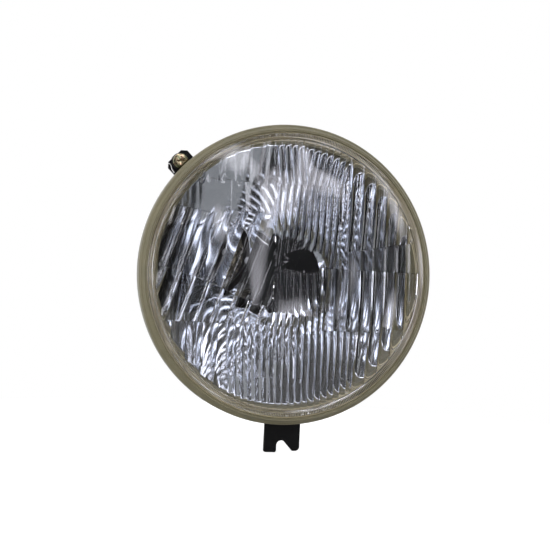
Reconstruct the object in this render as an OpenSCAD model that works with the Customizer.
// Round car headlight insert: domed pressed-glass lens with fluted optics, khaki moulded rim,
// aluminised bowl, halogen bulb behind a shield, and a black steel mounting frame with an aim screw.
// Each piece is drawn looking out along +Z, with +Y up, and lamp_axis() turns it to face -Y.
// Origin: on the optical axis, in the plane of the rim's rear shoulder.

/* [Rim frame] */
// Outer radius of the rim wall
rim_r = 89; // [86:0.5:94]
// Width of the rim band outside the glass groove
rim_band = 4.5; // [3.5:0.1:6]
// Depth of the straight rim wall in front of the shoulder
rim_wall_depth = 6.3; // [5:0.1:7]
// Height of the rim lip above the shoulder
rim_lip_height = 10.7; // [9.5:0.1:12]
// Height of the glass groove's floor above the shoulder
groove_floor = 1; // [0.6:0.1:1.4]
// Height of the inner wall of the groove above the shoulder
inner_wall_height = 4.2; // [3:0.1:6]
// Thickness of the inner wall of the groove
inner_wall_t = 1.6; // [1.2:0.1:2.4]
// Step from the rim wall in to the spigot behind the shoulder
spigot_step = 3; // [2:0.1:4]
// Depth of the spigot behind the shoulder
spigot_depth = 5; // [4:0.1:7]

/* [Lens] */
// Outer radius of the glass dome
dome_r = 185; // [160:1:230]
// Thickness of the glass outside the flutes
glass_t = 3.2; // [2.6:0.1:4]
// Radial width of the glass skirt
skirt_w = 4.6; // [3.6:0.1:6]
// Room for sealant on each side of the skirt
seal_gap = 0.5; // [0.4:0.1:0.8]
// Thickness of the sealant bed under the skirt
seal_bed = 1; // [0.6:0.1:1.6]
// Pitch of the wide flutes
wide_pitch = 8.5; // [6:0.1:11]
// Pitch of the narrow flutes
fine_pitch = 3.95; // [3:0.05:6]
// Height of a wide flute
wide_depth = 0.9; // [0.4:0.1:1.4]
// Height of a narrow flute
fine_depth = 0.45; // [0.2:0.05:0.7]

/* [Reflector] */
// Focal length of the bowl
focal = 24; // [22:0.5:28]
// Thickness of the reflector sheet
sheet_t = 1; // [0.8:0.1:1.5]
// Thickness of the gasket under the reflector flange
gasket_t = 0.5; // [0.3:0.1:1]
// Step from the rim's bore in to the mirror edge
mirror_step = 0.3; // [0.1:0.1:1]
// Width of the flat bulb seat outside the collar's wall
seat_land = 4.7; // [4.4:0.1:6.7]

/* [Mounting frame] */
// Thickness of the frame plate
frame_t = 2; // [1.5:0.1:3]
// Step from the rim wall in to the frame ring
frame_inset = 1.1; // [0.5:0.1:2]
// Width of the bottom tab
tab_w = 22; // [18:0.5:28]
// Distance of the bottom tab's middle to the right of the axis
tab_x = 4.4; // [-6:0.1:8]
// How far the bottom tab reaches past the rim wall
tab_drop = 17.9; // [15:0.1:26]
// Width of the left leg of the bottom tab
tab_leg_w = 7.7; // [6:0.1:9]
// Depth of the notch in the bottom tab
notch_depth = 7.2; // [6:0.1:9]
// Radius of the notch's round root
notch_r = 3; // [2.2:0.1:3.2]
// Width of the aim screw tab
ear_w = 15.5; // [14:0.5:18]
// How far the aim screw tab runs on past the middle of the screw
ear_past = 4.3; // [3.8:0.1:8]
// Angle of the aim screw tab round the rim
ear_angle = 135.8; // [120:0.1:150]

/* [Aim screw] */
// Step from the rim wall out to the middle of the aim screw
aim_step = 2.7; // [2:0.1:4.5]
// Radius of the aim screw's shank
aim_shank_r = 2.5; // [2:0.1:3]
// Radius of the aim screw's head
aim_head_r = 4.6; // [4:0.1:4.9]
// Height of the aim screw's head
aim_head_h = 3; // [2.4:0.1:3.4]
// Length of the aim screw's shank
aim_shank_len = 16; // [15:0.5:40]
// Width of the hexagonal aim nut across its flats
aim_nut_w = 8; // [7:0.1:10]
// Thickness of the aim nut
aim_nut_t = 4; // [3:0.1:5]

/* [Bulb] */
// Distance from the bulb's reference plane to the main filament
light_centre = 24.5; // [22:0.5:26]
// Radius of the bulb's glass tube
tube_r = 8.8; // [8:0.1:9.5]
// Length of the bulb in front of its reference plane
tube_len = 57; // [52:0.5:58]
// Radius of the bulb's metal flange
flange_r = 19.8; // [19.5:0.1:20.5]
// Reach of the three lugs on the bulb's flange
lug_r = 21.4; // [21:0.1:22]
// Radius of the bulb's plastic base
base_r = 12.5; // [11:0.5:13]
// Length of the bulb's plastic base
base_len = 15; // [12:0.5:20]
// Length of the contact blades behind the base
blade_len = 10; // [8:0.5:12]
// Width of a contact blade
blade_w = 8; // [6:0.5:9]

/* [Bulb shield] */
// Radius of the bulb shield
shield_r = 23; // [20:0.5:25]
// Depth of the bulb shield's side wall
shield_depth = 11; // [8:0.5:14]
// Distance from the tip of the bulb to the shield's face
shield_ahead = 6.76; // [4.76:0.1:8.76]

/* [Hidden] */

$fn = 96;
// Clearances: a slip fit on a radius, a running fit on a radius, and a gap between moving faces
slip = 0.1;
run_fit = 0.05;
face_gap = 0.3;
// Overlap that joins two shapes of one piece
bite = 0.4;
// Reach of a cutting shape past the face that it cuts
past = 1;
// Room above the lens edge for shapes that are cut back to the dome
dome_room = 60;

// Radii across the rim, from the outside in
groove_out_r = rim_r - rim_band;
lens_r = groove_out_r - seal_gap;
skirt_in_r = lens_r - skirt_w;
groove_in_r = skirt_in_r - seal_gap;
rim_bore_r = groove_in_r - inner_wall_t;
spigot_r = rim_r - spigot_step;
mirror_r = rim_bore_r - mirror_step;
aim_r = rim_r + aim_step;
ear_reach = aim_r + ear_past;
tab_reach = rim_r + tab_drop;

// Heights along the axis, from the glass back
lens_edge_f = rim_lip_height + 0.2;
skirt_f = groove_floor + seal_bed;
dome_centre_f = lens_edge_f - sqrt(dome_r * dome_r - lens_r * lens_r);
inner_dome_r = dome_r - glass_t;
seal_recess = 1.6;
spigot_f = -spigot_depth;
mirror_f = spigot_f - gasket_t;
plate_f = mirror_f - sheet_t;
plate_back_f = plate_f - frame_t;
vertex_f = mirror_f - mirror_r * mirror_r / (4 * focal);
ref_f = vertex_f + focal - light_centre;

// Rim lip: rounding and the two fine beads on its slope
lip_round = 2.2;
lip_land = 0.8;
bead_w = 0.5;
bead_h = 0.22;

// Reflector: flange, set in from the spigot, and steps of its curved profile
flange_inset = 0.5;
refl_flange_r = spigot_r - flange_inset;
bowl_steps = 18;

// Bulb collar
collar_t = 1.2;
collar_neck = 2.8;
collar_wall = 2.2;
collar_bore_r = flange_r - 0.7;
seat_r = collar_bore_r + collar_wall + seat_land;
collar_r = seat_r;
collar_f = ref_f + collar_neck + collar_t;
seat_f = collar_f + sheet_t;
bulb_spigot_r = collar_bore_r - slip;
bulb_spigot_len = 2.4;
bulb_flange_t = 1.2;
lug_w = 8;
lug_root = 2;
lug_angles = [90, 210, 330];
collar_rivet_r = 1.3;
collar_rivet_ring = (collar_bore_r + collar_wall + collar_r) / 2;
collar_rivet_angles = [30, 150, 225, 315];
rivet_head_h = 0.7;
rivet_head_grow = 0.8;

// Wire clip that holds the bulb
wire_r = 0.8;
clip_half_w = 15.5;
clip_top = 24.5;
clip_drop = 49;
clip_ear_x = 12;
clip_ear_t = 1.6;
clip_ear_low = 20.5;
clip_ear_top = clip_top + 2.2;
clip_pin_len = 6;
clip_room = 20;
clip_f = ref_f - bulb_flange_t - face_gap - wire_r;
clip_corner_r = wire_r + 0.08;
hook_w = 9;
hook_t = 1.4;
hook_lip = 1.2;

// Frame ring, screws and tabs
frame_r = rim_r - frame_inset;
// How far outside the mirror edge the ring's bore lies
frame_clear = 2.6;
frame_bore_r = mirror_r + frame_clear;
frame_screw_ring = (frame_bore_r + refl_flange_r) / 2;
frame_screw_angles = [62, 170, 225, 315];
frame_screw_r = 1.5;
frame_screw_head_r = 2.7;
frame_screw_head_h = 1.8;
frame_screw_floor = 0.8;
frame_screw_reach = spigot_depth - frame_screw_floor;
screw_slot_w = 0.8;
screw_slot_d = 0.8;
// How far a tab's outline runs in under the ring
tab_root = 4;
tab_round = 1.2;
lobe_r = 2.6;
lobe_rise = 1;
notch_flare = 43;
// How far inside the notch's round root its flared flank starts
flare_tuck = 0.05;
ear_chamfer = 2.6;
slit_w = 0.65;
slit_line = [[-2.8, 6.7], [0, 6.2], [1.4, 5.3], [2.6, 4.95], [3.8, 5.4]];

// Aim screw, from its head back
grommet_flange_r = 5;
grommet_flange_t = 1.4;
grommet_body_r = 4.1;
grommet_barb_r = 4.7;
grommet_barb_t = 1.6;
grommet_slack = 0.2;
grommet_front_f = plate_f + grommet_flange_t;
grommet_back_f = plate_back_f - grommet_slack - grommet_barb_t;
aim_head_f = grommet_front_f + slip;
// Pan head: share of its height that is upright, and share of its radius left on top
head_upright = 0.55;
head_top = 0.62;
retainer_r = 4.6;
retainer_t = 0.8;
retainer_f = grommet_back_f - slip;
nut_gap = 1.3;
nut_front_f = retainer_f - retainer_t - nut_gap;
cross_w = 1.1;
cross_len = 5.2;
cross_depth = 1.8;
aim_dir = [cos(ear_angle), sin(ear_angle)];

// Pivot socket, hidden behind the rim on the other side
pivot_angle = 15;
pivot_ring = (frame_bore_r + frame_r) / 2;
pivot_r = 4.8;
pivot_neck_r = 2.6;
pivot_len = 13;
pivot_bore_r = 3;
pivot_bore_depth = 9;

// Bulb innards
tube_wall = 1;
// Domed tip of a tube, as shares of its radius: height, sphere and depth of the sphere's middle
tip_rise = 0.8;
tip_sphere = 1.025;
tip_sink = 0.225;
// How deep the tube stands in the flange's spigot
tube_seat = 1.2;
pinch_w = 11;
pinch_t = 4;
pinch_f = ref_f + 9;
sleeve_t = 0.8;
sleeve_len = 7;
mask_t = 0.2;
mask_len = 11;
coil_r = 0.75;
main_coil_len = 5;
dip_coil_len = 5.6;
dip_ahead = 7.5;
dip_lift = 0.8;
post_r = 0.35;
arm_r = post_r - run_fit;
dip_cup_r = 3;
post_spread = dip_cup_r + post_r + slip;
cup_rim = 1.6;
dip_cup_t = 0.3;
dip_cup_len = 7;
dip_cup_back = 4.5;
blade_t = 0.8;
blade_ring = 8;
blade_root = 2;
blade_drop = 1;
base_step = 0.8;
base_step_len = 3;

// Bulb shield and its leg
shield_t = 0.8;
shield_face_f = ref_f + tube_len + shield_ahead;
shield_dish = 1.6;
shield_roll_r = 0.9;
// How far the rolled edge stands out past the wall
shield_roll_out = 0.4;
leg_w = 8;
leg_t = 1;
leg_foot_r = 46;
leg_foot_len = 9;
leg_rivet_r = 1.5;
rivet_room = 8;
leg_lift = 0.35;
leg_top_f = shield_face_f - shield_depth + 3;
leg_y = sqrt(pow(shield_r - shield_t, 2) - pow(leg_w / 2, 2)) - leg_t - slip;

// Flute zones: the lines that part them, in millimetres right and up of the axis
far = 100;
seam_x = -13.5;
upper_seam_left = 36.5;
upper_seam = 33.5;
low_seam = -29.5;
low_seam_x = -34.2;
mid_x = 25;
band_low = 4.5;
band_x = 17;
band_high_near = 14;
band_high = 27;
right_seam = -31.5;
right_x = 39;
valley_t = 0.2;
wide_steps = 3;
fine_steps = 2;
sweep = 66;

module lamp_axis() {
    rotate([90, 0, 0])
        children();
}

// A ring or a tube between two heights
module tube(r_out, r_in, low, high) {
    translate([0, 0, low])
        difference() {
            cylinder(r = r_out, h = high - low);
            translate([0, 0, -past])
                cylinder(r = r_in, h = high - low + 2 * past);
        }
}

module disc(r, low, high) {
    translate([0, 0, low])
        cylinder(r = r, h = high - low);
}

// Copies a child to a place on a ring, turned to face outward
module on_ring(angles, radius) {
    for (a = angles)
        rotate([0, 0, a])
            translate([radius, 0, 0])
                children();
}

// Height of the bowl's mirror surface at a radius
function bowl_f(r) = vertex_f + r * r / (4 * focal);

// Slope of the bowl's surface at a radius, in degrees
function bowl_slope(r) = atan(r / (2 * focal));

// Height of one flute across its width, from its valley over its crown
function flute_rise(t, depth) = valley_t + depth * (1 - (2 * t - 1) * (2 * t - 1));

// Glass profile of a fluted zone: smooth against the dome, scalloped towards the bulb
function flute_profile(from_n, to_n, pitch, phase, depth, steps) = concat(
    [for (n = [from_n:to_n - 1]) for (k = [0:steps - 1])
        let (a = (n + k / steps) * pitch + phase)
        [sqrt(inner_dome_r * inner_dome_r - a * a) - flute_rise(k / steps, depth), a]],
    [for (n = [to_n:-1:from_n])
        let (a = n * pitch + phase)
        [sqrt(pow(inner_dome_r + bite, 2) - a * a), a]]);

// A layer of flutes on the back of the glass, inside one outline
module flute_zone(outline, pitch, depth, steps, lean, line_x, line_y, span) {
    phase = -(line_x * cos(lean) - line_y * sin(lean));
    from_n = ceil((-span[1] - phase) / pitch) - 1;
    to_n = floor((-span[0] - phase) / pitch) + 1;
    intersection() {
        linear_extrude(height = dome_room)
            polygon(outline);
        cylinder(r = skirt_in_r + bite, h = dome_room);
        translate([0, 0, dome_centre_f])
            rotate([0, 0, -lean])
                rotate([0, -90, 0])
                    rotate([0, 0, -sweep / 2])
                        rotate_extrude(angle = sweep, $fn = 180)
                            polygon(flute_profile(from_n, to_n, pitch, phase, depth, steps));
    }
}

module lens() {
    color([0.82, 0.88, 0.9, 0.45])
        lamp_axis() {
            difference() {
                intersection() {
                    disc(lens_r, skirt_f, lens_edge_f + dome_room);
                    translate([0, 0, dome_centre_f])
                        sphere(r = dome_r, $fn = 180);
                }
                intersection() {
                    disc(skirt_in_r, skirt_f - past, lens_edge_f + dome_room);
                    translate([0, 0, dome_centre_f])
                        sphere(r = inner_dome_r, $fn = 180);
                }
            }
            flutes();
        }
}

module flutes() {
    // Upper left and left: wide flutes, upright above the seam and slanted below it
    flute_zone([[-far, upper_seam_left], [seam_x, upper_seam], [seam_x, far], [-far, far]],
        wide_pitch, wide_depth, wide_steps, 3, -36.5, 50, [-70, -13]);
    flute_zone([[-far, low_seam], [seam_x, low_seam], [seam_x, upper_seam],
        [-far, upper_seam_left]], wide_pitch, wide_depth, wide_steps, 17, -22.5, 0, [-88, -4]);
    // Bottom: wide flutes at the left, narrow ones in the middle
    flute_zone([[-far, -far], [low_seam_x, -far], [low_seam_x, low_seam], [-far, low_seam]],
        wide_pitch, wide_depth, wide_steps, 0, low_seam_x, 0, [-75, low_seam_x]);
    flute_zone([[low_seam_x, -far], [right_x, -far], [right_x, low_seam], [low_seam_x, low_seam]],
        fine_pitch, fine_depth, fine_steps, -4.5, right_x, -45, [-42, right_x]);
    // Middle: narrow flutes, upright below and leaning above
    flute_zone([[seam_x, low_seam], [band_x, low_seam], [band_x, band_low], [seam_x, band_low]],
        fine_pitch, fine_depth, fine_steps, -1, seam_x, 0, [seam_x - 1, band_x + 1]);
    flute_zone([[seam_x, band_low], [mid_x, band_low], [mid_x, far], [seam_x, far]],
        fine_pitch, fine_depth, fine_steps, 4, seam_x, 20, [seam_x - 6, mid_x + 1]);
    // Right: wide flutes above and below a plain band
    flute_zone([[mid_x, band_high_near], [far, band_high], [far, far], [mid_x, far]],
        wide_pitch, wide_depth, wide_steps, 5, 41, 45, [mid_x - 6, 78]);
    flute_zone([[right_x, -far], [far, -far], [far, right_seam], [right_x, right_seam]],
        wide_pitch, wide_depth, wide_steps, -2, right_x, right_seam, [right_x - 2, 74]);
    flute_zone([[band_x, right_seam], [far, right_seam], [far, band_low], [band_x, band_low]],
        wide_pitch, wide_depth, wide_steps, -1, right_x, 0, [band_x, 80]);
}

module lens_sealant() {
    color([0.62, 0.57, 0.46])
        lamp_axis() {
            tube(groove_out_r - run_fit, groove_in_r + run_fit, groove_floor, skirt_f);
            tube(groove_out_r - run_fit, lens_r + run_fit, groove_floor, lens_edge_f - seal_recess);
            tube(skirt_in_r - run_fit, groove_in_r + run_fit, groove_floor, inner_wall_height);
        }
}

// A small bead on the slope of the rim lip, between two of its points
function bead(r, f) = [[r + bead_w, f - bead_h], [r + bead_w / 2, f], [r, f - bead_h / 3]];

module rim_frame() {
    slope = (rim_lip_height - rim_wall_depth) / (rim_band - lip_land);
    color([0.45, 0.42, 0.33])
        lamp_axis()
            difference() {
                rotate_extrude()
                    polygon(concat(
                        [[rim_bore_r, spigot_f], [spigot_r, spigot_f], [spigot_r, 0], [rim_r, 0],
                            [rim_r, rim_wall_depth]],
                        [for (a = [15:15:75])
                            [rim_r - lip_round + lip_round * cos(a),
                                rim_wall_depth + lip_round * sin(a)]],
                        bead(groove_out_r + lip_land + bead_w, rim_lip_height - bead_h / 2),
                        [[groove_out_r + lip_land, rim_lip_height - bead_h],
                            [groove_out_r + lip_land / 2, rim_lip_height],
                            [groove_out_r, rim_lip_height - lip_land / 2],
                            [groove_out_r, groove_floor], [groove_in_r, groove_floor],
                            [groove_in_r, inner_wall_height], [rim_bore_r, inner_wall_height]]));
                on_ring(frame_screw_angles, frame_screw_ring)
                    disc(frame_screw_r + run_fit, spigot_f - past,
                        spigot_f + frame_screw_reach + face_gap);
            }
}

module reflector_gasket() {
    color([0.12, 0.12, 0.12])
        lamp_axis()
            difference() {
                tube(refl_flange_r, rim_bore_r + slip, mirror_f, spigot_f);
                on_ring(frame_screw_angles, frame_screw_ring)
                    disc(frame_screw_r + slip, mirror_f - past, spigot_f + past);
            }
}

module reflector() {
    step = (mirror_r - seat_r) / bowl_steps;
    color([0.78, 0.79, 0.8])
        lamp_axis()
            difference() {
                rotate_extrude()
                    polygon(concat(
                        [for (n = [0:bowl_steps])
                            let (r = seat_r + n * step)
                            [r, bowl_f(r)]],
                        [[refl_flange_r, mirror_f], [refl_flange_r, plate_f],
                            [mirror_r + sheet_t, plate_f]],
                        [for (n = [bowl_steps - 1:-1:1])
                            let (r = seat_r + n * step)
                            [r + sheet_t * sin(bowl_slope(r)), bowl_f(r) - sheet_t * cos(bowl_slope(r))]],
                        [[seat_r + sheet_t, bowl_f(seat_r) - sheet_t / 2],
                            [seat_r + sheet_t, collar_f], [collar_bore_r + slip, collar_f],
                            [collar_bore_r + slip, seat_f], [seat_r, seat_f]]));
                on_ring(frame_screw_angles, frame_screw_ring)
                    disc(frame_screw_r + slip, plate_f - past, mirror_f + past);
                on_ring(collar_rivet_angles, collar_rivet_ring)
                    disc(collar_rivet_r + slip, collar_f - past, seat_f + past);
                at_leg_rivet()
                    cylinder(r = leg_rivet_r + slip, h = rivet_room, center = true);
            }
}

// Outline of the bottom tab, hanging below the ring: a square left leg, a notch whose right
// side flares, and a round lobe
module bottom_tab() {
    left = tab_x - tab_w / 2;
    right = tab_x + tab_w / 2;
    top = -frame_r + tab_root;
    root = [left + tab_leg_w + notch_r, -tab_reach + notch_depth - notch_r];
    flare_from = root + (notch_r - flare_tuck) * [cos(notch_flare), sin(notch_flare)];
    flare_dir = [sin(notch_flare), -cos(notch_flare)];
    difference() {
        union() {
            translate([left, -tab_reach + tab_round])
                square([tab_leg_w, tab_reach - tab_round + top]);
            translate([left + tab_round, -tab_reach])
                square([tab_leg_w - 2 * tab_round, tab_round * 2]);
            for (x = [left + tab_round, left + tab_leg_w - tab_round])
                translate([x, -tab_reach + tab_round])
                    circle(r = tab_round);
            translate([left + tab_leg_w - bite, -tab_reach + lobe_rise + lobe_r])
                square([tab_w - tab_leg_w + bite, tab_reach - lobe_rise - lobe_r + top]);
            translate([left + tab_leg_w + bite, -tab_reach + lobe_rise])
                square([tab_w - tab_leg_w - lobe_r - bite, lobe_r * 2]);
            translate([right - lobe_r, -tab_reach + lobe_rise + lobe_r])
                circle(r = lobe_r);
        }
        translate(root)
            circle(r = notch_r);
        translate([root[0] - notch_r, -tab_reach - past])
            square([notch_r, notch_depth - notch_r + past]);
        polygon([root, flare_from, flare_from + tab_w * flare_dir, [root[0], -tab_reach - tab_w]]);
    }
}

// Outline of the tab that carries the aim screw, drawn pointing along +X
module aim_tab() {
    half = ear_w / 2;
    polygon([[frame_r - tab_root, -half], [ear_reach - ear_chamfer, -half],
        [ear_reach, -half + ear_chamfer], [ear_reach, half - ear_chamfer],
        [ear_reach - ear_chamfer, half], [frame_r - tab_root, half]]);
}

// Narrow relief slit beside the grommet
module relief_slit() {
    polygon(concat(
        [for (p = slit_line) [aim_r + p[0], p[1]]],
        [for (n = [len(slit_line) - 1:-1:0]) [aim_r + slit_line[n][0], slit_line[n][1] + slit_w]]));
}

module mounting_frame() {
    color([0.06, 0.06, 0.07])
        lamp_axis()
            translate([0, 0, plate_back_f])
                linear_extrude(height = frame_t)
                    difference() {
                        union() {
                            circle(r = frame_r);
                            bottom_tab();
                            rotate(ear_angle)
                                aim_tab();
                        }
                        circle(r = frame_bore_r);
                        for (a = frame_screw_angles)
                            rotate(a)
                                translate([frame_screw_ring, 0])
                                    circle(r = frame_screw_r + slip);
                        rotate(ear_angle)
                            translate([aim_r, 0])
                                circle(r = grommet_body_r + slip);
                        rotate(ear_angle)
                            relief_slit();
                        rotate(pivot_angle)
                            translate([pivot_ring, 0])
                                circle(r = pivot_neck_r + slip);
                    }
}

module frame_screws() {
    color([0.75, 0.74, 0.7])
        lamp_axis()
            on_ring(frame_screw_angles, frame_screw_ring)
                difference() {
                    union() {
                        disc(frame_screw_r, plate_back_f - bite, spigot_f + frame_screw_reach);
                        disc(frame_screw_head_r, plate_back_f - frame_screw_head_h, plate_back_f);
                    }
                    translate([-screw_slot_w / 2, -frame_screw_head_r - past,
                        plate_back_f - frame_screw_head_h - past])
                        cube([screw_slot_w, 2 * (frame_screw_head_r + past), past + screw_slot_d]);
                }
}

// Puts a child at the aim screw's axis
module at_aim() {
    translate([aim_r * aim_dir[0], aim_r * aim_dir[1], 0])
        rotate([0, 0, ear_angle])
            children();
}

module adjuster_grommet() {
    color([0.05, 0.05, 0.05])
        lamp_axis()
            at_aim()
                difference() {
                    union() {
                        disc(grommet_flange_r, plate_f, grommet_front_f);
                        disc(grommet_body_r, grommet_back_f, plate_f + bite);
                        disc(grommet_barb_r, grommet_back_f, grommet_back_f + grommet_barb_t);
                    }
                    disc(aim_shank_r + run_fit, grommet_back_f - past, grommet_front_f + past);
                }
}

module adjuster_screw() {
    color([0.72, 0.66, 0.36])
        lamp_axis()
            at_aim()
                difference() {
                    union() {
                        disc(aim_shank_r, aim_head_f - aim_shank_len, aim_head_f + bite);
                        disc(aim_head_r, aim_head_f, aim_head_f + aim_head_h * head_upright);
                        translate([0, 0, aim_head_f + aim_head_h * head_upright])
                            cylinder(r1 = aim_head_r, r2 = aim_head_r * head_top,
                                h = aim_head_h * (1 - head_upright));
                    }
                    for (a = [0, 90])
                        rotate([0, 0, a])
                            translate([-cross_len / 2, -cross_w / 2, aim_head_f + aim_head_h - cross_depth])
                                cube([cross_len, cross_w, cross_depth + past]);
                }
}

module adjuster_retainer() {
    color([0.5, 0.5, 0.52])
        lamp_axis()
            at_aim()
                tube(retainer_r, aim_shank_r + run_fit / 2, retainer_f - retainer_t, retainer_f);
}

module adjuster_nut() {
    color([0.72, 0.66, 0.36])
        lamp_axis()
            at_aim()
                difference() {
                    translate([0, 0, nut_front_f - aim_nut_t])
                        cylinder(r = aim_nut_w / 2 / cos(30), h = aim_nut_t, $fn = 6);
                    disc(aim_shank_r + run_fit, nut_front_f - aim_nut_t - past, nut_front_f + past);
                }
}

module pivot_socket() {
    color([0.85, 0.83, 0.76])
        lamp_axis()
            on_ring([pivot_angle], pivot_ring)
                difference() {
                    union() {
                        disc(pivot_neck_r, plate_back_f - bite, plate_f);
                        disc(pivot_r, plate_back_f - pivot_len, plate_back_f);
                    }
                    disc(pivot_bore_r, plate_back_f - pivot_len - past,
                        plate_back_f - pivot_len + pivot_bore_depth);
                }
}

module bulb_collar() {
    ear_back_f = clip_f - wire_r - 1;
    hook_y = clip_top - clip_drop - wire_r - face_gap;
    color([0.66, 0.67, 0.69])
        lamp_axis()
            difference() {
                union() {
                    disc(collar_r, ref_f + collar_neck, collar_f);
                    disc(collar_bore_r + collar_wall, ref_f, collar_f - collar_t / 2);
                    for (side = [-1, 1])
                        translate([side * (clip_ear_x + clip_ear_t / 2) - clip_ear_t / 2, clip_ear_low,
                            ear_back_f])
                            cube([clip_ear_t, clip_ear_top - clip_ear_low, collar_f - ear_back_f]);
                    translate([-clip_ear_x - clip_ear_t, clip_ear_low, ref_f + collar_neck])
                        cube([2 * (clip_ear_x + clip_ear_t), clip_ear_top - clip_ear_low, collar_t]);
                    translate([-hook_w / 2, hook_y - hook_t, ear_back_f - hook_lip])
                        cube([hook_w, hook_t, collar_f - ear_back_f + hook_lip]);
                    translate([-hook_w / 2, hook_y - hook_t, ref_f + collar_neck])
                        cube([hook_w, -hook_y + hook_t - collar_bore_r - 1, collar_t]);
                }
                disc(collar_bore_r, ref_f - past, collar_f + past);
                on_ring(collar_rivet_angles, collar_rivet_ring)
                    disc(collar_rivet_r + slip, ref_f + collar_neck - past, collar_f + past);
                translate([-clip_room, clip_top, clip_f])
                    rotate([0, 90, 0])
                        cylinder(r = wire_r + slip, h = 2 * clip_room);
            }
}

module collar_rivets() {
    head_r = collar_rivet_r + rivet_head_grow;
    color([0.72, 0.72, 0.74])
        lamp_axis()
            on_ring(collar_rivet_angles, collar_rivet_ring) {
                disc(collar_rivet_r, ref_f + collar_neck - bite, seat_f + bite);
                disc(head_r, seat_f, seat_f + rivet_head_h);
                disc(head_r, ref_f + collar_neck - rivet_head_h, ref_f + collar_neck);
            }
}

// Spring wire bail: two arms behind the bulb's flange, pinned in the collar's ears at the top
module bulb_clip() {
    color([0.7, 0.7, 0.72])
        lamp_axis()
            translate([0, 0, clip_f]) {
                for (side = [-1, 1]) {
                    translate([side * clip_half_w, clip_top, 0])
                        rotate([90, 0, 0])
                            cylinder(r = wire_r, h = clip_drop);
                    translate([side * (clip_half_w - clip_pin_len / 2), clip_top, 0])
                        rotate([0, 90, 0])
                            cylinder(r = wire_r, h = clip_pin_len, center = true);
                    for (y = [clip_top, clip_top - clip_drop])
                        translate([side * clip_half_w, y, 0])
                            sphere(r = clip_corner_r);
                }
                translate([0, clip_top - clip_drop, 0])
                    rotate([0, 90, 0])
                        cylinder(r = wire_r, h = 2 * clip_half_w, center = true);
            }
}

module bulb_flange() {
    color([0.7, 0.68, 0.62])
        lamp_axis()
            difference() {
                union() {
                    disc(flange_r, ref_f - bulb_flange_t, ref_f);
                    for (a = lug_angles)
                        rotate([0, 0, a])
                            translate([flange_r - lug_root, -lug_w / 2, ref_f - bulb_flange_t])
                                cube([lug_r - flange_r + lug_root, lug_w, bulb_flange_t]);
                    disc(bulb_spigot_r, ref_f - bite, ref_f + bulb_spigot_len);
                    disc(tube_r + sleeve_t + run_fit, ref_f, ref_f + sleeve_len);
                }
                disc(tube_r + run_fit, ref_f + bulb_spigot_len - tube_seat, ref_f + sleeve_len + past);
            }
}

module bulb_glass() {
    low = ref_f + bulb_spigot_len - tube_seat;
    color([0.85, 0.9, 0.95, 0.5])
        lamp_axis() {
            difference() {
                tube_form(tube_r, low, tube_len);
                tube_form(tube_r - tube_wall, low + tube_wall, tube_len - tube_wall);
            }
            translate([-pinch_w / 2, -pinch_t / 2, low + tube_wall / 2])
                cube([pinch_w, pinch_t, pinch_f - low - tube_wall / 2]);
        }
}

// Round tube with a domed tip, reaching a length in front of the reference plane
module tube_form(r, low, reach) {
    tip_f = ref_f + reach;
    disc(r, low, tip_f - r * tip_rise);
    translate([0, 0, tip_f - r * tip_rise])
        intersection() {
            translate([0, 0, -r * tip_sink])
                sphere(r = r * tip_sphere);
            cylinder(r = r * tip_sphere + past, h = r + past);
        }
}

module bulb_tip_mask() {
    start_f = ref_f + tube_len - mask_len;
    color([0.07, 0.07, 0.08])
        lamp_axis()
            difference() {
                tube_form(tube_r + run_fit + mask_t, start_f, tube_len + run_fit + mask_t);
                tube_form(tube_r + run_fit, start_f - past, tube_len + run_fit);
            }
}

module filament_posts() {
    main_f = ref_f + light_centre;
    dip_f = main_f + dip_ahead;
    color([0.6, 0.6, 0.62])
        lamp_axis() {
            // Long post past both filaments, with its cross arm
            translate([post_spread, dip_lift, pinch_f])
                cylinder(r = post_r, h = dip_f + dip_coil_len / 2 - pinch_f + past);
            translate([0, dip_lift, dip_f + dip_coil_len / 2 + post_r])
                rotate([0, 90, 0])
                    cylinder(r = arm_r, h = post_spread);
            // Short posts to the main filament's rear end and to the side of the cup
            translate([0, 0, pinch_f])
                cylinder(r = post_r, h = main_f - main_coil_len / 2 - pinch_f);
            translate([-post_spread, 0, pinch_f])
                cylinder(r = post_r, h = dip_f - pinch_f);
        }
}

module main_filament() {
    main_f = ref_f + light_centre;
    color([0.45, 0.45, 0.47])
        lamp_axis()
            disc(coil_r, main_f - main_coil_len / 2, main_f + main_coil_len / 2);
}

module dip_filament() {
    dip_f = ref_f + light_centre + dip_ahead;
    color([0.45, 0.45, 0.47])
        lamp_axis()
            translate([0, dip_lift, 0])
                disc(coil_r, dip_f - dip_coil_len / 2, dip_f + dip_coil_len / 2);
}

// Half cup under the dip filament
module dip_shield() {
    dip_f = ref_f + light_centre + dip_ahead;
    low = dip_f - dip_cup_back;
    clear = dip_cup_r + past;
    color([0.6, 0.6, 0.62])
        lamp_axis()
            difference() {
                disc(dip_cup_r, low - dip_cup_t, low + dip_cup_len);
                disc(dip_cup_r - dip_cup_t, low, low + dip_cup_len + past);
                translate([-clear, 0, low])
                    cube([2 * clear, clear, dip_cup_len + past]);
                translate([-clear, cup_rim, low - past])
                    cube([2 * clear, clear, dip_cup_len + past]);
            }
}

module bulb_base() {
    back_f = ref_f - bulb_flange_t;
    color([0.08, 0.08, 0.09])
        lamp_axis()
            difference() {
                union() {
                    disc(base_r, back_f - base_len, back_f);
                    disc(base_r + base_step, back_f - base_step_len, back_f);
                }
                blade_places(run_fit, back_f - base_len - past, back_f - base_len + blade_root);
            }
}

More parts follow.
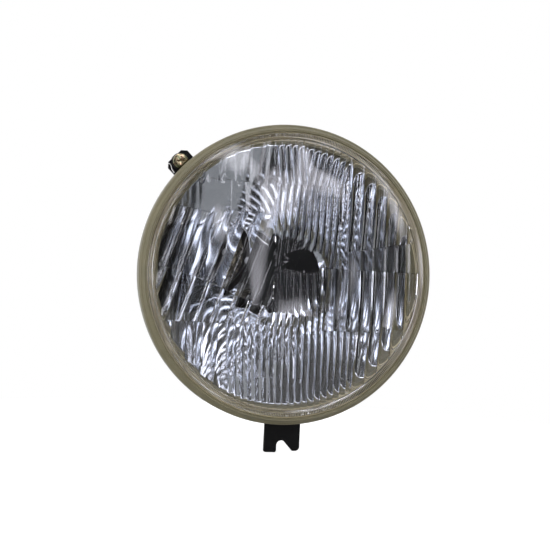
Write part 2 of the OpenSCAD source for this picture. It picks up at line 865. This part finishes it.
// The three blades: one flat above, two upright at the sides
module blade_places(grow, low, high) {
    w = blade_w + 2 * grow;
    t = blade_t + 2 * grow;
    translate([-w / 2, blade_ring - t / 2, low])
        cube([w, t, high - low]);
    for (side = [-1, 1])
        translate([side * blade_ring - t / 2, -w / 2 - blade_drop, low])
            cube([t, w, high - low]);
}

module contact_blades() {
    back_f = ref_f - bulb_flange_t - base_len;
    color([0.75, 0.72, 0.6])
        lamp_axis()
            blade_places(0, back_f - blade_len, back_f + blade_root);
}

module bulb_shield() {
    back_f = shield_face_f - shield_depth;
    dome = (shield_r * shield_r + shield_dish * shield_dish) / (2 * shield_dish);
    color([0.1, 0.1, 0.11])
        lamp_axis()
            difference() {
                union() {
                    intersection() {
                        disc(shield_r, back_f, shield_face_f + past);
                        translate([0, 0, shield_face_f - dome])
                            sphere(r = dome, $fn = 180);
                    }
                    translate([0, 0, back_f])
                        rotate_extrude()
                            translate([shield_r - shield_roll_r + shield_roll_out, 0])
                                circle(r = shield_roll_r, $fn = 24);
                }
                intersection() {
                    disc(shield_r - shield_t, back_f - 2 * past, shield_face_f + past);
                    translate([0, 0, shield_face_f - dome])
                        sphere(r = dome - shield_t, $fn = 180);
                }
            }
}

// Puts a child on the mirror under the shield's foot, along the bowl's normal
module at_leg_rivet() {
    r = leg_foot_r + leg_foot_len / 2 * cos(bowl_slope(leg_foot_r));
    translate([0, -r, bowl_f(r)])
        rotate([-bowl_slope(r), 0, 0])
            children();
}

module shield_leg() {
    a = bowl_slope(leg_foot_r + leg_foot_len / 2);
    foot_top = leg_foot_r - 1;
    foot_f = bowl_f(leg_foot_r) + leg_lift + 0.2;
    end_r = leg_foot_r + leg_foot_len * cos(a);
    end_f = bowl_f(end_r) + leg_lift + 0.2;
    color([0.68, 0.69, 0.7])
        lamp_axis()
            difference() {
                translate([leg_w / 2, 0, 0])
                    rotate([0, -90, 0])
                        linear_extrude(height = leg_w)
                            polygon([[leg_top_f, -leg_y], [leg_top_f, -leg_y - leg_t],
                                [shield_face_f - shield_depth - 2, -leg_y - leg_t],
                                [foot_f + leg_t * 0.4, -foot_top - leg_t],
                                [end_f + leg_t * sin(a), -end_r + leg_t * cos(a)],
                                [end_f, -end_r], [foot_f, -leg_foot_r],
                                [foot_f - 0.4, -foot_top + leg_t * 0.6],
                                [shield_face_f - shield_depth - 2.6, -leg_y]]);
                at_leg_rivet()
                    cylinder(r = leg_rivet_r + run_fit, h = rivet_room, center = true);
            }
}

module shield_rivet() {
    top = leg_lift + leg_t + 0.4;
    color([0.74, 0.74, 0.76])
        lamp_axis()
            at_leg_rivet() {
                translate([0, 0, -sheet_t - bite])
                    cylinder(r = leg_rivet_r, h = sheet_t + top + 2 * bite);
                translate([0, 0, top])
                    cylinder(r = leg_rivet_r + rivet_head_grow, h = rivet_head_h);
                translate([0, 0, -sheet_t - rivet_head_h - 0.1])
                    cylinder(r = leg_rivet_r + rivet_head_grow, h = rivet_head_h);
            }
}

lens();
lens_sealant();
rim_frame();
reflector_gasket();
reflector();
mounting_frame();
frame_screws();
adjuster_grommet();
adjuster_screw();
adjuster_retainer();
adjuster_nut();
pivot_socket();
bulb_collar();
collar_rivets();
bulb_clip();
bulb_flange();
bulb_glass();
bulb_tip_mask();
filament_posts();
main_filament();
dip_filament();
dip_shield();
bulb_base();
contact_blades();
bulb_shield();
shield_leg();
shield_rivet();
